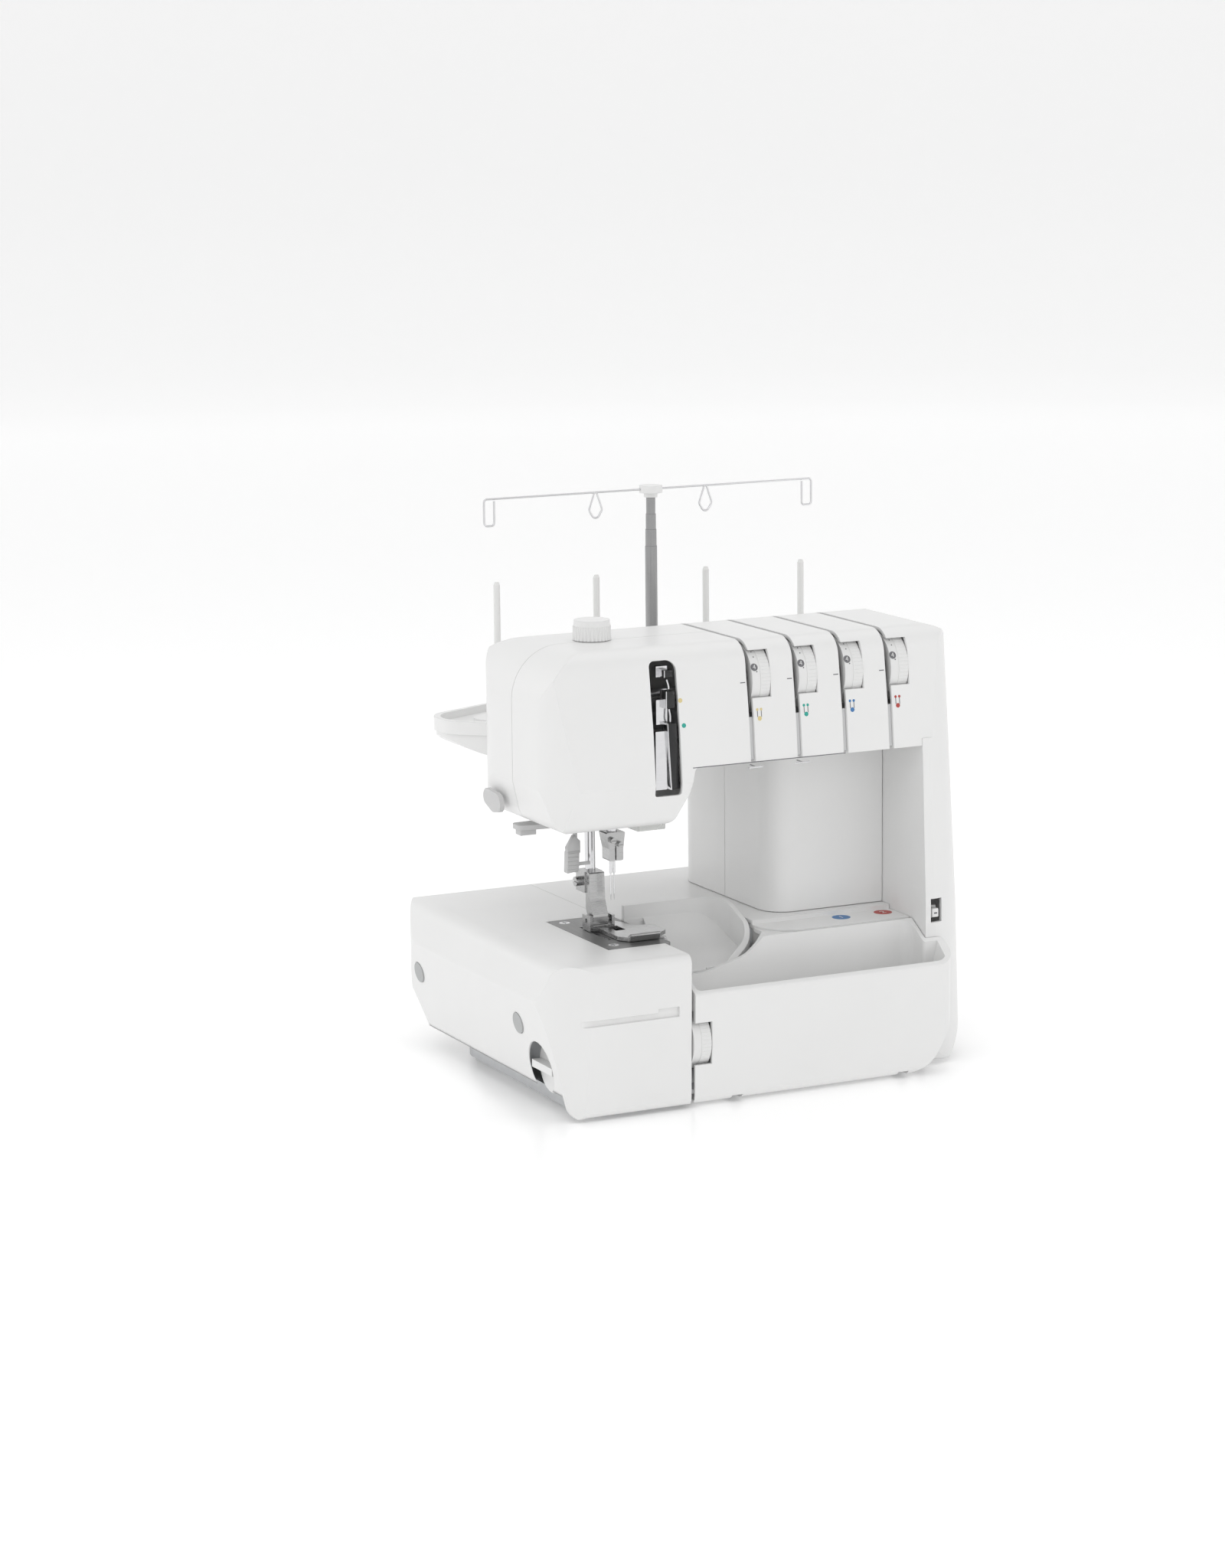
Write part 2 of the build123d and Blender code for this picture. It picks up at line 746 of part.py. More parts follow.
def needle_clamp():
    """Needle clamp with its two set screws."""
    body = along_y(
        [(-21, 169, 1), (-18.5, 158, 2), (-18.5, 150, 1), (-8.5, 150, 1), (-8.5, 158, 2), (-7, 169, 1)],
        80.5,
        91.5,
    )
    body = body - rod_z(140, 158, needle_x - needle_pitch / 2, needle_y, 0.9)
    body = body - rod_z(140, 158, needle_x + needle_pitch / 2, needle_y, 0.9)
    body = body - rod_z(157.9, 180, needle_x, needle_y, bar_radius)
    body = body - block(-14.4, -13.6, 79, 86, 149, 160)
    screws = [
        rod_y(77.6, 80.5, needle_x + side * 2.6, 162.5 - side * 1.5, 1.9)
        - block(needle_x - 6, needle_x + 6, 77, 78.3, 162.2 - side * 1.5, 162.8 - side * 1.5)
        for side in (-1, 1)
    ]
    return group([body] + screws)


def needles():
    """Two needles: shank, blade and point."""
    pieces = []
    for side in (-0.5, 0.5):
        x = needle_x + side * needle_pitch
        shank = rod_z(141, 157.8, x, needle_y, 0.9)
        blade = rod_z(needle_tip + 4, 141, x, needle_y, 0.5)
        point = Pos(x, needle_y, needle_tip + 2) * Cone(0.12, 0.5, 4)
        pieces.append(shank + blade + point)
    return group(pieces)


def presser_bar():
    """Presser bar, sliding in the frame."""
    return rod_z(126, 281, presser_x, presser_y, bar_radius)


def foot_ankle():
    """Foot holder: clamp on the bar, bent shank and pivot pin for the sole."""
    clamp = block(-27, -14, 101, 114, 126, 140) - rod_z(
        120, 150, presser_x, presser_y, bar_radius
    )
    shank = along_x(
        [(101.5, 140, 1), (96, 140, 1), (95, 122, 4), (90.5, 112, 4), (90.5, 105.6, 1.5), (97, 105.6, 1.5), (101.5, 116, 4)],
        -26,
        -15,
    )
    pin = rod_x(-27, -14, 94, 109, 1.4)
    screw = rod_x(-31, -27, 107.5, 133, 3.2) - block(-32, -30, 103, 112, 132.5, 133.5)
    return clamp + shank + pin + screw


def foot_sole():
    """Presser foot sole with toes, side ears and chain-off finger."""
    base = along_z(
        [(-24, 112, 3), (-24, 58, 3), (-19, 51, 2), (2, 53, 3), (13, 62, 4), (13, 80, 4), (0, 84, 3), (-8, 112, 4)],
        sole_low,
        sole_low + 2.6,
    )
    toe = along_x(
        [(50.5, 102.4, 0), (48, 106.5, 1), (49, 108, 1), (54, 105, 0), (60, 105, 0), (60, 102.4, 0)],
        -19,
        2,
    )
    ears = [block(x, x + 2, 88, 100, sole_low, 112.5) for x in (-29.4, -13.6)]
    web = block(-29.4, -24, 88, 100, sole_low, sole_low + 2.6)
    sole = base + toe + web
    for ear in ears:
        sole = sole + ear
    sole = sole - block(needle_x - 3.5, needle_x + 3.5, 74, 87.5, 100, 120)
    sole = sole - rod_x(-40, 0, 94, 109, 1.4 + running_clearance)
    return sole


def presser_lifter():
    """Lifting lever under the left end of the head."""
    arm = along_z([(-74, 100, 3), (-74, 112, 3), (-40, 114, 5), (-40, 96, 5)], 172.4, 175.6)
    boss = rod_y(97, 113, -42, 174.6, 2.2)
    tab = block(-72, -61, 102, 110, 168.5, 172.6)
    return arm + boss + tab


def needle_threader():
    """Sliding threader with its ribbed thumb piece and hook."""
    stem = rod_z(142, 215, -36, 96, 1.5)
    thumb = along_y([(-46, 140, 2), (-46, 158, 2), (-33, 160, 2), (-33, 144, 2)], 92, 100)
    for rib in range(5):
        thumb = thumb - block(-47, -45.2, 91, 101, 142.5 + rib * 3, 143.8 + rib * 3)
    hook = block(-33, -25, 94, 95.2, 146, 149)
    return stem + thumb + hook


def pressure_knob():
    """Foot pressure knob on top of the head."""
    knob = Pos(knob_x, knob_y, arm_top + 0.4 + 6.5) * Cone(12.6, 11.7, 13)
    for step in range(30):
        angle = 2 * pi * step / 30
        x = knob_x + 12.6 * cos(angle)
        y = knob_y + 12.6 * sin(angle)
        knob = knob - rod_z(arm_top, arm_top + 11, x, y, 0.55)
    stem = rod_z(arm_top - 5.5, arm_top + 1, knob_x, knob_y, 3.0)
    return knob + stem


def tension_dial(x):
    """Thumb wheel of one thread tension: numbered ring left, knurled ring right."""
    left = x + slot_width / 2 + 0.5
    ring = rod_x(left, left + 6, dial_y, dial_z, dial_radius)
    grip = rod_x(left + 6, left + dial_width, dial_y, dial_z, dial_radius + 0.3)
    for step in range(60):
        angle = 2 * pi * step / 60
        y = dial_y + (dial_radius + 0.6) * cos(angle)
        z = dial_z + (dial_radius + 0.6) * sin(angle)
        grip = grip - rod_x(left + 6.6, left + dial_width + 1, y, z, 0.5)
    return ring + grip - rod_x(left - 1, left + 20, dial_y, dial_z, 3.06)


def tension_discs():
    """Four pairs of tension discs with their studs, in the gap left of each wheel."""
    pieces = []
    for x in slot_x:
        left = x + slot_width / 2 + 0.5
        stud = rod_x(left - 1.2, left + dial_width + 1.5, dial_y, dial_z, 3.0)
        disc = rod_x(left - 2.6, left - 1.2, dial_y, dial_z, 18)
        pieces.append(stud + disc)
    return group(pieces)


def cutting_width_dial():
    """Thumb wheel that sets the cutting width."""
    ring = rod_x(1.0, 6.5, width_dial_y, width_dial_z, 19.2)
    grip = rod_x(6.5, 13.5, width_dial_y, width_dial_z, 19.5)
    for step in range(48):
        angle = 2 * pi * step / 48
        y = width_dial_y + 19.8 * cos(angle)
        z = width_dial_z + 19.8 * sin(angle)
        grip = grip - rod_x(7, 14, y, z, 0.5)
    return ring + grip


def selector_knob():
    """Stitch selector: recessed disc with a ridge grip."""
    x, y, z = selector_centre()
    disc = rod_x(x + 4, x + 8, y, z, 17.0)
    ridge = block(x - 2.5, x + 5, y - 15, y + 15, z - 2.5, z + 2.5)
    return disc + (ridge & rod_x(x - 5, x + 6, y, z, 16.5))


def adjuster_slider():
    """Sliding thumb piece of the adjuster in the pillar."""
    thumb = block(192, 197, 24, 34, 101, 107)
    grip = block(191, 198, 29, 33, 99.5, 108.5)
    return thumb + grip


def upper_looper():
    """Upper looper arm on its rocker."""
    arm = along_y([(8, 40, 3), (16, 40, 3), (18, 68, 4), (2, 79, 2), (0, 77, 0), (12, 66, 4)], 88, 91)
    hub = rod_y(84, 95, 13, 42, 6)
    return arm + hub - rod_y(80, 100, 13, 42, 2.5)


def lower_looper():
    """Lower looper arm on its rocker."""
    arm = along_y([(30, 34, 3), (38, 34, 3), (36, 56, 4), (-4, 66, 2), (-4, 63, 0), (28, 50, 4)], 75, 78)
    hub = rod_y(71, 82, 34, 36, 6)
    return arm + hub - rod_y(66, 90, 34, 36, 2.5)


def upper_knife():
    """Moving upper knife on its carrier."""
    blade = along_y([(7.5, 88, 0), (7.5, 101, 0), (12, 101, 0), (16, 88, 0)], 60, 61.6)
    carrier = block(8, 16, 61.6, 67, 62, 92)
    return blade + carrier


def lower_knife():
    """Fixed lower knife in its holder."""
    blade = block(6.2, 11, 57.6, 59.4, 78, 100)
    holder = block(6.2, 18, 51, 57.6, 70, 86)
    return blade + holder


def feed_dog(y0, y1):
    """Toothed feed bars on a common foot."""
    rows = []
    for x in feed_rows():
        bar = block(x - 1.1, x + 1.1, y0, y1, 88, bed_height - 0.4)
        for tooth in range(int((y1 - y0) / 1.6)):
            y = y0 + 1.6 * tooth
            bar = bar - block(x - 2, x + 2, y, y + 0.8, bed_height - 1.2, bed_height + 1)
        rows.append(bar)
    foot = block(feed_rows()[0] - 1.1, feed_rows()[-1] + 1.1, y0, y1, 84, 88)
    dog = foot
    for bar in rows:
        dog = dog + bar
    return dog


def take_up_lever():
    """Needle thread take-up in the head slot."""
    return along_y([(2.5, 214, 1), (3.5, 240, 1), (6.8, 240, 1), (6.8, 210, 1)], 33, 38)


def thread_guides():
    """Bent steel guides in the head slot and at the foot of the arm slots."""
    top = block(-4, 4, 40, 46, 276, 283)
    middle = block(-6, 2, 36, 44, 246, 262)
    lower = block(-8, 0, 33, 44, 204, 242)
    wires = [
        rod_x(x - 5, x + 5, 24.8, arm_low - 2.6, 0.75) + rod_y(24.8, 32, x, arm_low - 2.6, 0.75)
        for x in slot_x[:2]
    ]
    return group([top, middle, lower] + wires)


def thread_cutter():
    """Thread cutter flap on the lower left of the head."""
    return along_x([(98, 186, 5), (102, 197, 6), (124, 199, 6), (128, 190, 5), (112, 184, 8)], -87.5, -84.4)


def tray_plan(grow):
    """Corners of the spool tray seen from above."""
    left = mast_x - 160 - grow
    right = mast_x + 159.5 + grow
    front = 165.5 - grow
    back = 262 + grow
    return [
        (left, 196 - grow, 18),
        (left, 226 + grow, 22),
        (mast_x - 80, back, 80),
        (mast_x + 80, back, 80),
        (right, 226 + grow, 22),
        (right, 196 - grow, 18),
        (right - 34, front, 30),
        (left + 34, front, 30),
    ]


def spool_tray():
    """Tray of the thread stand, with a raised rim, a dished floor and cone seats."""
    rim = along_z(tray_plan(0), tray_seam, tray_rim)
    recess = along_z(tray_plan(-3.5), tray_rim - 5, tray_rim + 1)
    bowl = along_z(tray_plan(-1.2), tray_low, tray_seam)
    lift = along_y(
        [
            (mast_x - 165, tray_seam + 1, 0),
            (mast_x - 140, tray_low + 2, 40),
            (mast_x - 90, tray_low, 60),
            (mast_x + 90, tray_low, 60),
            (mast_x + 140, tray_low + 2, 40),
            (mast_x + 165, tray_seam + 1, 0),
        ],
        150,
        290,
    )
    tray = rim - recess + (bowl & lift)
    for offset in pin_offsets:
        tray = tray + rod_z(tray_rim - 6, tray_rim - 2.5, mast_x + offset, stand_y, 17)
        tray = tray - rod_z(tray_rim - 12, tray_rim, mast_x + offset, stand_y, pin_radius)
    return tray - rod_z(tray_low + 2, tray_rim, mast_x, stand_y, mast_radii[0])


def spool_pins():
    """Four spool pins."""
    pins = []
    for offset in pin_offsets:
        x = mast_x + offset
        pin = rod_z(tray_rim - 12, pin_top - 2, x, stand_y, pin_radius)
        tip = Pos(x, stand_y, pin_top - 1) * Cone(pin_radius, pin_radius - 0.8, 2)
        pins.append(pin + tip)
    return group(pins)


def mast_section(index):
    """One tube of the telescopic mast; the thinnest is solid."""
    top = mast_tops[index]
    low = tray_low + 2 + index * 3
    tube = rod_z(low, top, mast_x, stand_y, mast_radii[index])
    if index < len(mast_radii) - 1:
        tube = tube - rod_z(low - 1, top + 1, mast_x, stand_y, mast_radii[index] - mast_wall)
    if index == 0:
        tube = tube + rod_z(low, low + 1, mast_x, stand_y, mast_radii[index])
    return tube


def antenna_hub():
    """White hub that carries the thread guide wire and turns on the mast."""
    hub = rod_z(antenna_z - 2.5, antenna_z + 2.5, mast_x, stand_y, 8)
    collar = rod_z(antenna_z - 5.6, antenna_z - 2.4, mast_x, stand_y, 4.6)
    socket = rod_z(antenna_z - 10, antenna_z - 2.5, mast_x, stand_y, mast_radii[3] + 0.06)
    wire = rod_x(mast_x - 20, mast_x + 20, stand_y, antenna_z, 0.8)
    return hub + collar - socket - wire


def wire_path(points, radius):
    """Round wire bent along corner points with rounded bends."""
    path = FilletPolyline(*points, radius=radius)
    section = Plane(origin=path @ 0, z_dir=path % 0) * Circle(0.75)
    return sweep(section, path=path)


def antenna_wire():
    """Thread guide wire with a hanging loop above each spool pin."""
    y = stand_y
    pieces = []
    for side in (-1, 1):
        end = mast_x + side * 122
        near = mast_x + side * 41.8
        arm = rod_x(min(mast_x, end), max(mast_x, end), y, antenna_z, 0.75)
        loop = wire_path(
            [
                (end, y, antenna_z),
                (end + side * 2.4, y, antenna_z),
                (end + side * 2.4, y, antenna_z - 18),
                (end - side * 5, y, antenna_z - 18),
                (end - side * 5, y, antenna_z - 1.5),
            ],
            2.2,
        )
        drop = wire_path(
            [
                (near - 0.8, y, antenna_z),
                (near - 5, y, antenna_z - 12),
                (near, y, antenna_z - 20),
                (near + 5, y, antenna_z - 12),
                (near + 0.8, y, antenna_z),
            ],
            3,
        )
        pieces.append(arm + loop + drop)
    return pieces[0] + pieces[1]


def power_switch():
    """Rocker switch button."""
    button = along_y([(226.5, 56, 0.5), (229.3, 56, 0.5), (228.2, 62, 0), (229.3, 68, 0.5), (226.5, 68, 0.5)], 201, 219)
    return Pos(-1.8, 0, 0) * (button + rod_y(201, 219, 226, 62, 2.2))


def power_inlet():
    """Socket panel with mains inlet and foot control socket."""
    panel = block(222.5, 226, 195.4, 224.6, 22.4, 49.6)
    panel = panel - block(223.5, 230, 198, 222, 36, 47) - block(223.5, 230, 202, 218, 25, 32)
    blades = [block(223.4, 225.6, y - 0.8, y + 0.8, 39.5, 43.5) for y in (205, 215)]
    for blade in blades:
        panel = panel + blade
    return panel


def lamp_lens():
    """Lamp lens under the head, in front of the needle bar."""
    return along_x([(42, 176, 2), (42, 180.4, 0), (60, 180.4, 0), (60, 176, 2)], -16, 3)


def build():
    """All nodes by name."""
    nodes = {
        "base_pan": base_pan(),
        "rubber_feet": rubber_feet(),
        "left_casing": left_casing(),
        "side_plugs": side_plugs(),
        "bed_housing": bed_housing(),
        "needle_plate": needle_plate(),
        "plate_screws": plate_screws(),
        "main_frame": main_frame(),
        "head_cover": head_cover(),
        "tension_plates": tension_plates(),
        "right_cover": right_cover(),
        "rear_housing": rear_housing(),
        "column_covers": column_covers(),
        "front_cover": front_cover(),
        "cover_hinge_rod": cover_hinge_rod(),
        "chip_shield": chip_shield(),
        "hand_wheel": hand_wheel(),
        "main_shaft": main_shaft(),
        "motor": motor(),
        "motor_pulley": motor_pulley(),
        "drive_belts": drive_belts(),
        "upper_shaft": upper_shaft(),
        "needle_bar": needle_bar(),
        "needle_clamp": needle_clamp(),
        "needles": needles(),
        "presser_bar": presser_bar(),
        "foot_ankle": foot_ankle(),
        "foot_sole": foot_sole(),
        "presser_lifter": presser_lifter(),
        "needle_threader": needle_threader(),
        "pressure_knob": pressure_knob(),
        "tension_discs": tension_discs(),
        "cutting_width_dial": cutting_width_dial(),
        "selector_knob": selector_knob(),
        "adjuster_slider": adjuster_slider(),
        "upper_looper": upper_looper(),
        "lower_looper": lower_looper(),
        "upper_knife": upper_knife(),
        "lower_knife": lower_knife(),
        "feed_dog_main": feed_dog(84.5, 102),
        "feed_dog_differential": feed_dog(66.5, 81),
        "take_up_lever": take_up_lever(),
        "thread_guides": thread_guides(),
        "thread_cutter": thread_cutter(),
        "spool_tray": spool_tray(),
        "spool_pins": spool_pins(),
        "antenna_hub": antenna_hub(),
        "antenna_wire": antenna_wire(),
        "power_switch": power_switch(),
        "power_inlet": power_inlet(),
        "lamp_lens": lamp_lens(),
    }
    for number, x in enumerate(slot_x, start=1):
        nodes[f"tension_dial_{number}"] = tension_dial(x)
    for index in range(len(mast_radii)):
        nodes[f"mast_section_{index + 1}"] = mast_section(index)
    return nodes


os.makedirs("parts", exist_ok=True)
shapes = build()
boxes = [shape.bounding_box() for shape in shapes.values()]
origin_x = (min(box.min.X for box in boxes) + max(box.max.X for box in boxes)) / 2
origin_y = (min(box.min.Y for box in boxes) + max(box.max.Y for box in boxes)) / 2
print(f"origin at {origin_x:.4f} {origin_y:.4f}")
for name, shape in shapes.items():
    placed = Pos(-origin_x, -origin_y, 0) * shape
    export_step(placed, f"parts/{name}.step")
    box = placed.bounding_box()
    size = " ".join(f"{value:7.1f}" for value in (*box.min.to_tuple(), *box.max.to_tuple()))
    print(f"{name:22s} solids {len(placed.solids()):2d}  {size}")
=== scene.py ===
import json
import math

import bmesh
import bpy
from mathutils import Matrix, Vector


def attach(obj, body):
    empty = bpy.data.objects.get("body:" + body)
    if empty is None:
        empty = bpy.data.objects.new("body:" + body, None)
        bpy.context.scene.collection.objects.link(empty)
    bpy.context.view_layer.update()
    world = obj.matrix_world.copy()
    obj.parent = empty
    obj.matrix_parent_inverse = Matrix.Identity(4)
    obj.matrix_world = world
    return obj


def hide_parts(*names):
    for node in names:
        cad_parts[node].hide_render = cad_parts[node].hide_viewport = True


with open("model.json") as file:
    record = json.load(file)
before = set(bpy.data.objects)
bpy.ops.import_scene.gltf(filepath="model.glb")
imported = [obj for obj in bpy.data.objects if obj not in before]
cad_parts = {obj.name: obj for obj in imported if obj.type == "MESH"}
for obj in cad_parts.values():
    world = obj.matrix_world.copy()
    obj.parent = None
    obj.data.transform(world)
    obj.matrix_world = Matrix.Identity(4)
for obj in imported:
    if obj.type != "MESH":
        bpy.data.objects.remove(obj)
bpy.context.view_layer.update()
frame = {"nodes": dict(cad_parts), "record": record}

nodes = frame["nodes"]
datum = Vector((69.5374, 130.6855, 0.0))  # drawing datum to the part's origin, mm


def at(x, y, z):
    return (Vector((x, y, z)) - datum) * 0.001


def newGroup(name, inputs, outputs):
    group = bpy.data.node_groups.new(name, "ShaderNodeTree")
    for label, kind, value in inputs:
        socket = group.interface.new_socket(label, in_out="INPUT", socket_type=kind)
        if value is not None:
            socket.default_value = value
    for label, kind in outputs:
        group.interface.new_socket(label, in_out="OUTPUT", socket_type=kind)
    tree = group.nodes
    return group, tree, group.links, tree.new("NodeGroupInput"), tree.new("NodeGroupOutput")


def makeMouldedGroup():
    # moulded plastic: slow sink waviness, fine grain, faint mottling and handling dust
    group, tree, links, start, end = newGroup(
        "mouldedPlastic",
        [
            ("color", "NodeSocketColor", (0.8, 0.8, 0.8, 1)),
            ("shadeColor", "NodeSocketColor", (0.7, 0.7, 0.7, 1)),
            ("roughness", "NodeSocketFloat", 0.35),
            ("grainScale", "NodeSocketFloat", 2500.0),
            ("grainDepth", "NodeSocketFloat", 0.03),
            ("waveDepth", "NodeSocketFloat", 0.02),
            ("edgeRadius", "NodeSocketFloat", 0.0005),
        ],
        [("color", "NodeSocketColor"), ("roughness", "NodeSocketFloat"), ("normal", "NodeSocketVector")],
    )
    coords = tree.new("ShaderNodeTexCoord")
    mottle = tree.new("ShaderNodeTexNoise")
    mottle.inputs["Scale"].default_value = 14.0
    mottle.inputs["Detail"].default_value = 6.0
    links.new(coords.outputs["Object"], mottle.inputs["Vector"])
    ramp = tree.new("ShaderNodeMapRange")
    ramp.inputs["From Min"].default_value = 0.45
    ramp.inputs["From Max"].default_value = 0.9
    ramp.inputs["To Max"].default_value = 0.5
    links.new(mottle.outputs["Fac"], ramp.inputs["Value"])
    tint = tree.new("ShaderNodeMix")
    tint.data_type = "RGBA"
    links.new(ramp.outputs["Result"], tint.inputs["Factor"])
    links.new(start.outputs["color"], tint.inputs["A"])
    links.new(start.outputs["shadeColor"], tint.inputs["B"])
    links.new(tint.outputs["Result"], end.inputs["color"])
    smear = tree.new("ShaderNodeTexNoise")
    smear.inputs["Scale"].default_value = 60.0
    smear.inputs["Detail"].default_value = 8.0
    links.new(coords.outputs["Object"], smear.inputs["Vector"])
    spread = tree.new("ShaderNodeMapRange")
    spread.inputs["To Min"].default_value = -0.05
    spread.inputs["To Max"].default_value = 0.07
    links.new(smear.outputs["Fac"], spread.inputs["Value"])
    add = tree.new("ShaderNodeMath")
    add.operation = "ADD"
    links.new(start.outputs["roughness"], add.inputs[0])
    links.new(spread.outputs["Result"], add.inputs[1])
    links.new(add.outputs["Value"], end.inputs["roughness"])
    grain = tree.new("ShaderNodeTexNoise")
    grain.inputs["Detail"].default_value = 3.0
    links.new(coords.outputs["Object"], grain.inputs["Vector"])
    links.new(start.outputs["grainScale"], grain.inputs["Scale"])
    wave = tree.new("ShaderNodeTexNoise")
    wave.inputs["Scale"].default_value = 22.0
    links.new(coords.outputs["Object"], wave.inputs["Vector"])
    edge = tree.new("ShaderNodeBevel")
    edge.samples = 6
    links.new(start.outputs["edgeRadius"], edge.inputs["Radius"])
    fine = tree.new("ShaderNodeBump")
    fine.inputs["Distance"].default_value = 0.0002
    links.new(start.outputs["grainDepth"], fine.inputs["Strength"])
    links.new(grain.outputs["Fac"], fine.inputs["Height"])
    links.new(edge.outputs["Normal"], fine.inputs["Normal"])
    slow = tree.new("ShaderNodeBump")
    slow.inputs["Distance"].default_value = 0.002
    links.new(start.outputs["waveDepth"], slow.inputs["Strength"])
    links.new(wave.outputs["Fac"], slow.inputs["Height"])
    links.new(fine.outputs["Normal"], slow.inputs["Normal"])
    links.new(slow.outputs["Normal"], end.inputs["normal"])
    return group


def makeMetalGroup():
    # machined metal: directional scratches, tone drift and slight edge rounding
    group, tree, links, start, end = newGroup(
        "machinedMetal",
        [
            ("color", "NodeSocketColor", (0.6, 0.6, 0.6, 1)),
            ("shadeColor", "NodeSocketColor", (0.4, 0.4, 0.4, 1)),
            ("roughness", "NodeSocketFloat", 0.25),
            ("scratchScale", "NodeSocketVector", (40.0, 900.0, 900.0)),
            ("scratchDepth", "NodeSocketFloat", 0.08),
            ("edgeRadius", "NodeSocketFloat", 0.0002),
        ],
        [("color", "NodeSocketColor"), ("roughness", "NodeSocketFloat"), ("normal", "NodeSocketVector")],
    )
    coords = tree.new("ShaderNodeTexCoord")
    stretch = tree.new("ShaderNodeVectorMath")
    stretch.operation = "MULTIPLY"
    links.new(coords.outputs["Object"], stretch.inputs[0])
    links.new(start.outputs["scratchScale"], stretch.inputs[1])
    scratch = tree.new("ShaderNodeTexNoise")
    scratch.inputs["Scale"].default_value = 1.0
    scratch.inputs["Detail"].default_value = 6.0
    scratch.inputs["Roughness"].default_value = 0.7
    links.new(stretch.outputs["Vector"], scratch.inputs["Vector"])
    drift = tree.new("ShaderNodeTexNoise")
    drift.inputs["Scale"].default_value = 130.0
    drift.inputs["Detail"].default_value = 5.0
    links.new(coords.outputs["Object"], drift.inputs["Vector"])
    blend = tree.new("ShaderNodeMath")
    blend.operation = "MULTIPLY"
    links.new(scratch.outputs["Fac"], blend.inputs[0])
    links.new(drift.outputs["Fac"], blend.inputs[1])
    tint = tree.new("ShaderNodeMix")
    tint.data_type = "RGBA"
    links.new(blend.outputs["Value"], tint.inputs["Factor"])
    links.new(start.outputs["color"], tint.inputs["A"])
    links.new(start.outputs["shadeColor"], tint.inputs["B"])
    links.new(tint.outputs["Result"], end.inputs["color"])
    spread = tree.new("ShaderNodeMapRange")
    spread.inputs["To Min"].default_value = -0.08
    spread.inputs["To Max"].default_value = 0.12
    links.new(scratch.outputs["Fac"], spread.inputs["Value"])
    add = tree.new("ShaderNodeMath")
    add.operation = "ADD"
    links.new(start.outputs["roughness"], add.inputs[0])
    links.new(spread.outputs["Result"], add.inputs[1])
    links.new(add.outputs["Value"], end.inputs["roughness"])
    edge = tree.new("ShaderNodeBevel")
    edge.samples = 4
    links.new(start.outputs["edgeRadius"], edge.inputs["Radius"])
    fine = tree.new("ShaderNodeBump")
    fine.inputs["Distance"].default_value = 0.0001
    links.new(start.outputs["scratchDepth"], fine.inputs["Strength"])
    links.new(scratch.outputs["Fac"], fine.inputs["Height"])
    links.new(edge.outputs["Normal"], fine.inputs["Normal"])
    links.new(fine.outputs["Normal"], end.inputs["normal"])
    return group


mouldedGroup = makeMouldedGroup()
metalGroup = makeMetalGroup()
materials = {}


def rgba(color):
    return (color[0], color[1], color[2], 1.0)


def plastic(name, color, shade, roughness, grain=0.03, scale=2500.0, wave=0.02, edge=0.0005, **direct):
    material = bpy.data.materials.new(name)
    material.use_nodes = True
    tree, links = material.node_tree.nodes, material.node_tree.links
    shader = tree["Principled BSDF"]
    group = tree.new("ShaderNodeGroup")
    group.node_tree = mouldedGroup
    group.inputs["color"].default_value = rgba(color)
    group.inputs["shadeColor"].default_value = rgba(shade)
    group.inputs["roughness"].default_value = roughness
    group.inputs["grainScale"].default_value = scale
    group.inputs["grainDepth"].default_value = grain
    group.inputs["waveDepth"].default_value = wave
    group.inputs["edgeRadius"].default_value = edge
    links.new(group.outputs["color"], shader.inputs["Base Color"])
    links.new(group.outputs["roughness"], shader.inputs["Roughness"])
    links.new(group.outputs["normal"], shader.inputs["Normal"])
    for label, value in direct.items():
        shader.inputs[label.replace("_", " ")].default_value = value
    materials[name] = material
    return material


def metal(name, color, shade, roughness, scratch=(40, 900, 900), depth=0.08, edge=0.0002, **direct):
    material = bpy.data.materials.new(name)
    material.use_nodes = True
    tree, links = material.node_tree.nodes, material.node_tree.links
    shader = tree["Principled BSDF"]
    group = tree.new("ShaderNodeGroup")
    group.node_tree = metalGroup
    group.inputs["color"].default_value = rgba(color)
    group.inputs["shadeColor"].default_value = rgba(shade)
    group.inputs["roughness"].default_value = roughness
    group.inputs["scratchScale"].default_value = scratch
    group.inputs["scratchDepth"].default_value = depth
    group.inputs["edgeRadius"].default_value = edge
    links.new(group.outputs["color"], shader.inputs["Base Color"])
    links.new(group.outputs["roughness"], shader.inputs["Roughness"])
    links.new(group.outputs["normal"], shader.inputs["Normal"])
    shader.inputs["Metallic"].default_value = 1.0
    for label, value in direct.items():
        shader.inputs[label.replace("_", " ")].default_value = value
    materials[name] = material
    return material


plastic("whitePlastic", (0.84, 0.84, 0.835), (0.80, 0.80, 0.795), 0.34, Coat_Weight=0.15, Coat_Roughness=0.2)
plastic("linerGrey", (0.66, 0.665, 0.67), (0.60, 0.605, 0.61), 0.42, grain=0.06)
plastic("clipGrey", (0.60, 0.60, 0.60), (0.52, 0.52, 0.52), 0.38, edge=0.0003)
plastic("blackPlastic", (0.012, 0.012, 0.013), (0.03, 0.03, 0.032), 0.24, edge=0.0003)
plastic("dialPlastic", (0.80, 0.80, 0.795), (0.73, 0.73, 0.725), 0.36, edge=0.0002)
plastic("plugRubber", (0.47, 0.48, 0.48), (0.40, 0.41, 0.41), 0.55, grain=0.12, scale=1800)
plastic("feetRubber", (0.045, 0.045, 0.047), (0.07, 0.07, 0.072), 0.7, grain=0.2, scale=1200)
plastic("beltRubber", (0.02, 0.02, 0.02), (0.035, 0.035, 0.035), 0.75, grain=0.3, scale=1500)
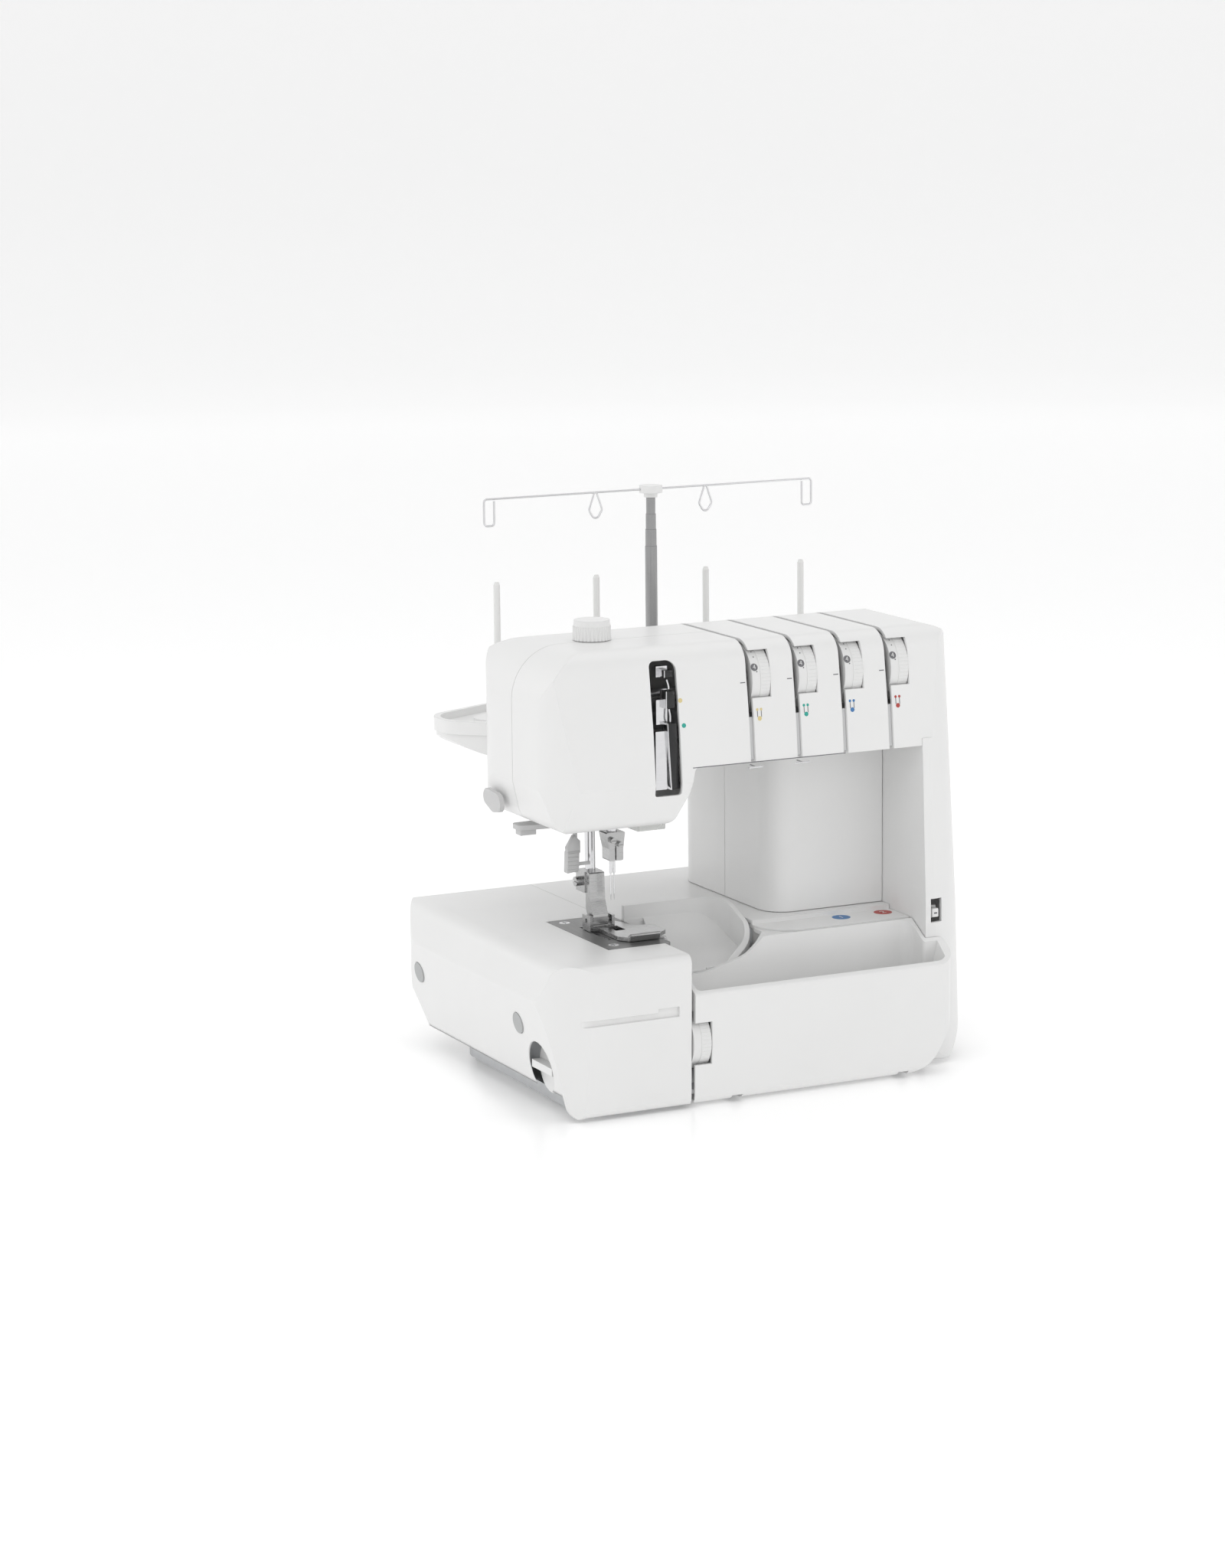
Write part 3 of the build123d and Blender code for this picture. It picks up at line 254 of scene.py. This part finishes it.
plastic("pinPlastic", (0.80, 0.80, 0.79), (0.74, 0.74, 0.73), 0.4, edge=0.0002)
plastic("socketPlastic", (0.025, 0.025, 0.027), (0.05, 0.05, 0.05), 0.45, grain=0.1)
plastic("lensPlastic", (0.86, 0.87, 0.85), (0.78, 0.79, 0.77), 0.25, Transmission_Weight=0.35, IOR=1.49)
plastic("motorPaint", (0.03, 0.033, 0.036), (0.05, 0.052, 0.055), 0.4, grain=0.08)
plastic("inkGrey", (0.16, 0.16, 0.17), (0.22, 0.22, 0.23), 0.5, edge=0.00002)
plastic("inkYellow", (0.72, 0.60, 0.30), (0.66, 0.54, 0.25), 0.45, edge=0.00002)
plastic("inkGreen", (0.03, 0.38, 0.31), (0.03, 0.33, 0.27), 0.45, edge=0.00002)
plastic("inkBlue", (0.06, 0.20, 0.45), (0.05, 0.17, 0.40), 0.45, edge=0.00002)
plastic("inkRed", (0.45, 0.06, 0.05), (0.40, 0.05, 0.04), 0.45, edge=0.00002)
metal("plateSteel", (0.30, 0.30, 0.30), (0.24, 0.24, 0.24), 0.42, scratch=(900, 30, 900), depth=0.12)
metal("polishedSteel", (0.72, 0.72, 0.73), (0.58, 0.58, 0.59), 0.12, depth=0.03)
metal("footSteel", (0.50, 0.50, 0.50), (0.36, 0.36, 0.36), 0.24, depth=0.1)
metal("castAlloy", (0.42, 0.43, 0.44), (0.33, 0.34, 0.35), 0.5, scratch=(300, 300, 300), depth=0.3)
metal("sheetAlloy", (0.52, 0.53, 0.54), (0.44, 0.45, 0.46), 0.36, depth=0.08)
metal("mastSteel", (0.36, 0.36, 0.36), (0.26, 0.26, 0.27), 0.2, scratch=(900, 900, 30), depth=0.05)
print("materials made", len(materials))

slotLook = {
    "white_housing": "whitePlastic",
    "grey_liner": "clipGrey",
    "black_plastic": "blackPlastic",
    "dial_grey": "dialPlastic",
    "plate_steel": "plateSteel",
    "polished_steel": "polishedSteel",
    "foot_steel": "footSteel",
    "cast_alloy": "castAlloy",
    "sheet_alloy": "sheetAlloy",
    "belt_rubber": "beltRubber",
    "foot_rubber": "feetRubber",
    "plug_rubber": "plugRubber",
    "motor_black": "motorPaint",
    "lens_clear": "lensPlastic",
    "mast_metal": "mastSteel",
    "socket_dark": "socketPlastic",
    "spindle_grey": "pinPlastic",
}
for subpart in frame["record"]["subparts"]:
    node = nodes[subpart["node"]]
    node.data.materials.clear()
    node.data.materials.append(materials[slotLook[subpart["material_slot"]]])

def addPiece(name, mesh, look, body, slotName, *replaced):
    thing = bpy.data.objects.new(name, mesh)
    bpy.context.scene.collection.objects.link(thing)
    mesh.materials.clear()
    for label in [look] if isinstance(look, str) else look:
        mesh.materials.append(materials[label])
    mesh.shade_smooth()
    mesh.set_sharp_from_angle(angle=math.radians(34))
    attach(thing, body)
    if replaced:
        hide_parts(*replaced)
    return thing


def meshOf(name, verts, faces):
    mesh = bpy.data.meshes.new(name)
    mesh.from_pydata([at(*v) for v in verts], [], faces)
    tool = bmesh.new()
    tool.from_mesh(mesh)
    bmesh.ops.recalc_face_normals(tool, faces=tool.faces)
    tool.to_mesh(mesh)
    tool.free()
    return mesh


def joined(name, meshes):
    tool = bmesh.new()
    for mesh in meshes:
        tool.from_mesh(mesh)
        bpy.data.meshes.remove(mesh)
    mesh = bpy.data.meshes.new(name)
    tool.to_mesh(mesh)
    tool.free()
    return mesh


def place(axis, a, b, h):
    # a, b lie across the axis and h along it
    return {"x": (h, a, b), "y": (a, h, b), "z": (a, b, h)}[axis]


def prism(points, axis, low, high, bevel=0.0, segments=2):
    count = len(points)
    verts = [place(axis, a, b, low) for a, b in points] + [place(axis, a, b, high) for a, b in points]
    faces = [tuple(range(count)), tuple(range(2 * count - 1, count - 1, -1))]
    faces += [(i, (i + 1) % count, count + (i + 1) % count, count + i) for i in range(count)]
    mesh = meshOf("prism", verts, faces)
    if bevel > 0:
        tool = bmesh.new()
        tool.from_mesh(mesh)
        sharp = [e for e in tool.edges if e.calc_face_angle(0) > math.radians(40)]
        bmesh.ops.bevel(
            tool, geom=sharp, offset=bevel * 0.001, segments=segments, affect="EDGES", profile=0.5
        )
        tool.to_mesh(mesh)
        tool.free()
    return mesh


def brick(x0, x1, y0, y1, z0, z1, bevel=0.0, segments=2):
    return prism([(x0, y0), (x1, y0), (x1, y1), (x0, y1)], "z", z0, z1, bevel, segments)


def tube(points, radius, smooth=True, steps=4, cyclic=False):
    curve = bpy.data.curves.new("tube", "CURVE")
    curve.dimensions = "3D"
    curve.bevel_depth = radius * 0.001
    curve.bevel_resolution = 4
    curve.use_fill_caps = True
    spline = curve.splines.new("NURBS" if smooth else "POLY")
    spline.points.add(len(points) - 1)
    for point, spot in zip(spline.points, points):
        point.co = (*at(*spot), 1)
    spline.use_cyclic_u = cyclic
    if smooth:
        spline.order_u = 3
        spline.use_endpoint_u = not cyclic
        spline.resolution_u = steps
    thing = bpy.data.objects.new("tube", curve)
    mesh = bpy.data.meshes.new_from_object(thing)
    bpy.data.objects.remove(thing)
    bpy.data.curves.remove(curve)
    return mesh


def sheetStrip(rows, thickness, name="strip"):
    # solid sheet through rows of points, thickened along the surface normal
    width = len(rows[0])
    verts = [v for row in rows for v in row]
    faces = [
        (r * width + c, r * width + c + 1, (r + 1) * width + c + 1, (r + 1) * width + c)
        for r in range(len(rows) - 1)
        for c in range(width - 1)
    ]
    mesh = meshOf(name, verts, faces)
    thing = bpy.data.objects.new(name, mesh)
    bpy.context.scene.collection.objects.link(thing)
    solid = thing.modifiers.new("thick", "SOLIDIFY")
    solid.thickness = thickness * 0.001
    solid.offset = 0
    bpy.context.view_layer.update()
    made = bpy.data.meshes.new_from_object(thing.evaluated_get(bpy.context.evaluated_depsgraph_get()))
    bpy.data.objects.remove(thing)
    bpy.data.meshes.remove(mesh)
    return made


def textMesh(words, size, spot, turn, depth=0.06):
    curve = bpy.data.curves.new("label", "FONT")
    curve.body = words
    curve.size = size * 0.001
    curve.extrude = depth * 0.001
    curve.align_x = "CENTER"
    curve.align_y = "CENTER"
    thing = bpy.data.objects.new("label", curve)
    mesh = bpy.data.meshes.new_from_object(thing)
    bpy.data.objects.remove(thing)
    bpy.data.curves.remove(curve)
    mesh.transform(Matrix.Translation(at(*spot)) @ turn.to_4x4())
    return mesh


cameraLook = {"place": (-1130.4, -2204.7, 679.3), "heading": 26.0, "tilt": 10.65, "roll": -0.60, "lens": 91.4}


def addCamera(look):
    heading, tilt, roll = (math.radians(look[k]) for k in ("heading", "tilt", "roll"))
    ahead = Vector(
        (math.sin(heading) * math.cos(tilt), math.cos(heading) * math.cos(tilt), -math.sin(tilt))
    )
    right = Vector((math.cos(heading), -math.sin(heading), 0))
    up = right.cross(ahead)
    turnedRight = right * math.cos(roll) + up * math.sin(roll)
    turnedUp = up * math.cos(roll) - right * math.sin(roll)
    camera = bpy.data.objects.new("photoCamera", bpy.data.cameras.new("photoCamera"))
    camera.data.sensor_width = 36
    camera.data.lens = look["lens"]
    camera.data.clip_end = 50
    turn = Matrix((turnedRight, turnedUp, -ahead)).transposed()
    camera.matrix_world = Matrix.Translation(at(*look["place"])) @ turn.to_4x4()
    bpy.context.scene.collection.objects.link(camera)
    bpy.context.scene.camera = camera


def addLight(name, place, aim, size, power):
    lamp = bpy.data.lights.new(name, "AREA")
    lamp.shape = "RECTANGLE"
    lamp.size, lamp.size_y = size
    lamp.energy = power
    thing = bpy.data.objects.new(name, lamp)
    thing.location = place
    thing.rotation_euler = (Vector(aim) - Vector(place)).to_track_quat("-Z", "Y").to_euler()
    bpy.context.scene.collection.objects.link(thing)


addCamera(cameraLook)
addLight("keyLight", (-1.1, -1.3, 1.9), (0, 0, 0.15), (1.6, 1.6), 7)
addLight("fillLight", (1.5, -1.2, 0.9), (0, 0, 0.15), (1.4, 1.4), 2.2)
addLight("topLight", (0.1, 0.4, 1.9), (0, 0, 0.15), (2.2, 1.6), 7)
addLight("backLight", (-1.4, 1.2, 0.8), (0, 0, 0.15), (1.2, 1.2), 2.5)
world = bpy.data.worlds.new("studio")
world.use_nodes = True
world.node_tree.nodes["Background"].inputs["Color"].default_value = (1, 1, 1, 1)
world.node_tree.nodes["Background"].inputs["Strength"].default_value = 0.62
bpy.context.scene.world = world
bpy.context.scene.view_settings.view_transform = "Standard"


floorLook = {"flat": 4.5, "curve": 1.5, "top": 3.4, "steps": 96, "glow": 0.2}


def addFloor():
    # level sheet with its edge curving up all round
    flat, curve, steps = floorLook["flat"], floorLook["curve"], floorLook["steps"]
    profile = [(0.01, 0), (1.5, 0), (3, 0), (flat, 0)]
    for part in range(1, 13):
        turn = part * math.pi / 24
        profile.append((flat + curve * math.sin(turn), curve - curve * math.cos(turn)))
    profile += [(flat + curve, 2.4), (flat + curve, floorLook["top"])]
    verts, faces = [], []
    for radius, height in profile:
        for step in range(steps):
            turn = 2 * math.pi * step / steps
            verts.append((radius * math.cos(turn), radius * math.sin(turn), height))
    for ring in range(len(profile) - 1):
        low, high = ring * steps, (ring + 1) * steps
        for step in range(steps):
            after = (step + 1) % steps
            faces.append((low + step, low + after, high + after, high + step))
    faces.append(tuple(range(steps - 1, -1, -1)))
    mesh = bpy.data.meshes.new("studioFloor")
    mesh.from_pydata(verts, [], faces)
    mesh.shade_smooth()
    floor = bpy.data.objects.new("studioFloor", mesh)
    bpy.context.scene.collection.objects.link(floor)
    material = bpy.data.materials.new("studioFloor")
    material.use_nodes = True
    shader = material.node_tree.nodes["Principled BSDF"]
    shader.inputs["Base Color"].default_value = (0.95, 0.95, 0.95, 1)
    shader.inputs["Roughness"].default_value = 0.3
    shader.inputs["Emission Color"].default_value = (1, 1, 1, 1)
    shader.inputs["Emission Strength"].default_value = floorLook["glow"]
    mesh.materials.append(material)


addFloor()
for node in nodes.values():
    node.data.shade_smooth()
    node.data.set_sharp_from_angle(angle=math.radians(32))


wheelLook = {
    "y": 56.0,
    "z": 268.7,
    "radius": 23.06,
    "ringMiddle": 4.4,
    "digitSize": 4.4,
    "spotRadius": 2.5,
    "dotRadius": 0.45,
    "digitAngle": 23.5,
    "nextAngle": 63.6,
    "dotAngles": (16, 41.5, 52, 72),
}
slotPlaces = (60.0, 94.3, 128.6, 162.9)


def onWheel(angle, x, lift):
    turn = math.radians(angle)
    reach = wheelLook["radius"] + lift
    spot = (x, wheelLook["y"] - reach * math.cos(turn), wheelLook["z"] + reach * math.sin(turn))
    facing = Matrix(
        ((1, 0, 0), (0, math.sin(turn), -math.cos(turn)), (0, math.cos(turn), math.sin(turn)))
    )
    return spot, facing


def discMesh(radius, spot, facing, depth=0.05):
    tool = bmesh.new()
    bmesh.ops.create_cone(
        tool, cap_ends=True, segments=32, radius1=radius * 0.001, radius2=radius * 0.001, depth=depth * 0.001
    )
    mesh = bpy.data.meshes.new("disc")
    tool.to_mesh(mesh)
    tool.free()
    mesh.transform(Matrix.Translation(at(*spot)) @ facing.to_4x4())
    return mesh


def addWheelMarks():
    for number, slot in enumerate(slotPlaces, 1):
        middle = slot + wheelLook["ringMiddle"]
        parts = [discMesh(wheelLook["spotRadius"], *onWheel(wheelLook["digitAngle"], middle, 0.0))]
        for angle in wheelLook["dotAngles"]:
            spot, facing = onWheel(angle, middle + 1.4, 0.0)
            parts.append(discMesh(wheelLook["dotRadius"], spot, facing))
        addPiece(f"wheelSpot{number}", joined("spot", parts), "inkGrey", f"dial_{number}", "black_plastic")
        digit = textMesh("4", wheelLook["digitSize"], *onWheel(wheelLook["digitAngle"], middle, 0.05))
        addPiece(f"wheelFour{number}", digit, "whitePlastic", f"dial_{number}", "dial_grey")
        faint = textMesh("3", wheelLook["digitSize"], *onWheel(wheelLook["nextAngle"], middle, 0.0))
        addPiece(f"wheelThree{number}", faint, "inkGrey", f"dial_{number}", "black_plastic")


addWheelMarks()
print("wheel marks made")

def frontY(z):
    # front face of the arm at height z
    return 27 + (z - 208) * 3 / 34 if z < 242 else 30 + (z - 242) * 7.5 / 53


linerLook = {"depth": 2.4, "low": 218.5, "high": 246}


def addSlotLiners():
    parts = []
    for slot in slotPlaces:
        rows = []
        for z in (linerLook["low"], 226, 233, 240, linerLook["high"]):
            y = frontY(z) + linerLook["depth"]
            rows.append([(slot - 1.6, y, z), (slot + 1.6, y, z)])
        parts.append(sheetStrip(rows, 0.8, "liner"))
    addPiece("slotLiners", joined("slotLiners", parts), "linerGrey", "machine", "grey_liner")


addSlotLiners()


def addThreadUnit():
    # guide stack in the head slot, in front of the take-up
    dark = [
        brick(-1.0, 4.3, 33.2, 41, 276.6, 281, 0.5),
        brick(-0.6, 5.3, 31.4, 40, 256.7, 267.7, 0.6),
        prism([(-0.2, 247), (5.9, 247), (8.3, 204), (2.3, 204)], "y", 30.6, 38, 0.6),
    ]
    addPiece("threadBlocks", joined("threadBlocks", dark), "blackPlastic", "machine", "black_plastic")
    bright = [
        brick(-1.7, -1.0, 33.0, 41, 276.4, 281.2, 0.2),
        brick(-1.3, -0.6, 31.2, 40, 256.5, 267.9, 0.2),
        prism([(-0.9, 247.2), (-0.2, 247.2), (2.3, 203.8), (1.6, 203.8)], "y", 30.4, 38, 0.2),
        tube([(0.5, 34, 275), (1.2, 33, 272), (1.6, 33, 269), (1.4, 34, 268)], 0.6),
        tube([(1.6, 33, 256), (2.0, 31.8, 252), (1.8, 31.8, 249), (2.2, 32.6, 247)], 0.6),
    ]
    addPiece("threadPlates", joined("threadPlates", bright), "polishedSteel", "machine", "polished_steel")


addThreadUnit()


def facingFront(z):
    lean = math.atan2(3, 34) if z < 242 else math.atan2(7.5, 53)
    return Matrix(((1, 0, 0), (0, math.sin(lean), -math.cos(lean)), (0, math.cos(lean), math.sin(lean))))


def panelSpot(x, z, lift=0.03):
    lean = math.atan2(3, 34) if z < 242 else math.atan2(7.5, 53)
    return (x, frontY(z) - lift * math.cos(lean), z + lift * math.sin(lean))


def mark(x, z, radius):
    return discMesh(radius, panelSpot(x, z), facingFront(z), 0.12)


def stroke(x0, z0, x1, z1, width):
    direction = Vector((x1 - x0, z1 - z0)).normalized()
    side = Vector((-direction[1], direction[0])) * width / 2
    outline = [
        (x0 + side[0], z0 + side[1]),
        (x1 + side[0], z1 + side[1]),
        (x1 - side[0], z1 - side[1]),
        (x0 - side[0], z0 - side[1]),
    ]
    verts = []
    for lift in (0.08, -0.1):
        for x, z in outline:
            verts.append(panelSpot(x, z, lift))
    faces = [(0, 1, 2, 3), (7, 6, 5, 4), (0, 4, 5, 1), (1, 5, 6, 2), (2, 6, 7, 3), (3, 7, 4, 0)]
    return meshOf("stroke", verts, faces)


def addPanelMarks():
    lines = [stroke(slot - 6.4, 268.7, slot - 2.8, 268.7, 0.6) for slot in slotPlaces]
    for slot in slotPlaces:
        lines.append(stroke(slot + 4.6, 246, slot + 4.6, 251, 0.5))
        lines.append(stroke(slot + 7.4, 246, slot + 7.4, 251, 0.5))
    addPiece("panelLines", joined("panelLines", lines), "inkGrey", "machine", "black_plastic")
    inks = ("inkYellow", "inkGreen", "inkBlue", "inkRed")
    for slot, ink in zip(slotPlaces, inks):
        parts = [mark(slot + 4.6, 250.8, 0.9), mark(slot + 7.4, 250.8, 0.9), mark(slot + 6, 245, 1.5)]
        addPiece("icon" + ink, joined("icon", parts), ink, "machine", "dial_grey")
    addPiece("yellowDot", mark(9.6, 261, 1.5), "inkYellow", "machine", "dial_grey")
    addPiece("greenDot", mark(11.0, 245, 1.5), "inkGreen", "machine", "dial_grey")
    edge = [stroke(16, 217.3, 128, 217.3, 0.55)]
    addPiece("armEdgeLine", joined("armEdgeLine", edge), "inkGrey", "machine", "black_plastic")


addPanelMarks()
print("front panel marks made")


badgeLook = {
    "radius": 6.2,
    "y": 62,
    "height": 99.0,
    "digitSize": 7.5,
    "spots": ((144, "inkBlue", "1"), (176, "inkRed", "2")),
}


def addBadges():
    # round colour spots on the ledge, each with a digit
    up = Matrix.Identity(3)
    radius, y, height = badgeLook["radius"], badgeLook["y"], badgeLook["height"]
    for x, ink, label in badgeLook["spots"]:
        spot = discMesh(radius, (x, y, height + 0.05), up, 0.16)
        addPiece("badge" + ink, spot, ink, "machine", "dial_grey")
        digit = textMesh(label, badgeLook["digitSize"], (x, y, height + 0.16), up, 0.04)
        addPiece("badgeDigit" + ink, digit, "whitePlastic", "machine", "dial_grey")


addBadges()


ribLook = {"x": -24, "y": 92, "circle": 12.0, "count": 40, "radius": 0.42, "low": 297.5, "high": 304.5}


def addKnobRibs():
    # fine upright ribs around the pressure knob
    parts = []
    for step in range(ribLook["count"]):
        angle = 2 * math.pi * step / ribLook["count"]
        x = ribLook["x"] + ribLook["circle"] * math.cos(angle)
        y = ribLook["y"] + ribLook["circle"] * math.sin(angle)
        ends = [(x, y, ribLook["low"]), (x, y, ribLook["high"])]
        parts.append(tube(ends, ribLook["radius"], smooth=False))
    addPiece("knobRibs", joined("knobRibs", parts), "whitePlastic", "pressure", "white_housing")

threaderLook = {"stemRadius": 1.5, "ribs": 5, "ribPitch": 2.7}


def addThreader():
    # pale threader: stem, wing plate, ribbed thumb grip and the hook
    parts = [
        tube([(-36, 96, 142), (-36, 96, 176)], threaderLook["stemRadius"], smooth=False),
        prism([(-42.8, 159), (-37.7, 167), (-33.4, 163), (-33.4, 155), (-42.5, 155)], "y", 93, 97.5, 0.5),
        prism([(-43.4, 142), (-42.8, 156.5), (-34.2, 156.5), (-34.8, 143)], "y", 92.4, 98.4, 0.7),
        brick(-34.4, -26, 94, 95.2, 146.4, 148.6, 0.2),
    ]
    for rib in range(threaderLook["ribs"]):
        low = 143.6 + rib * threaderLook["ribPitch"]
        parts.append(brick(-43.0, -34.9, 91.9, 92.8, low, low + 1.1, 0.3))
    mesh = joined("paleThreader", parts)
    addPiece("paleThreader", mesh, "clipGrey", "threader", "grey_liner", "needle_threader")


addThreader()


def addSlider():
    # white thumb slide with a small dark mark
    parts = [brick(192, 197, 24, 34, 101, 107, 0.8), brick(191.2, 197.8, 29, 33, 99.7, 108.3, 0.6)]
    mesh = joined("slideThumb", parts)
    addPiece("slideThumb", mesh, "whitePlastic", "slider", "white_housing", "adjuster_slider")
    addPiece("slideMark", brick(193.4, 195.6, 23.8, 24.3, 103.4, 104.4), "inkGrey", "slider", "black_plastic")


addSlider()


addKnobRibs()
print("controls made")
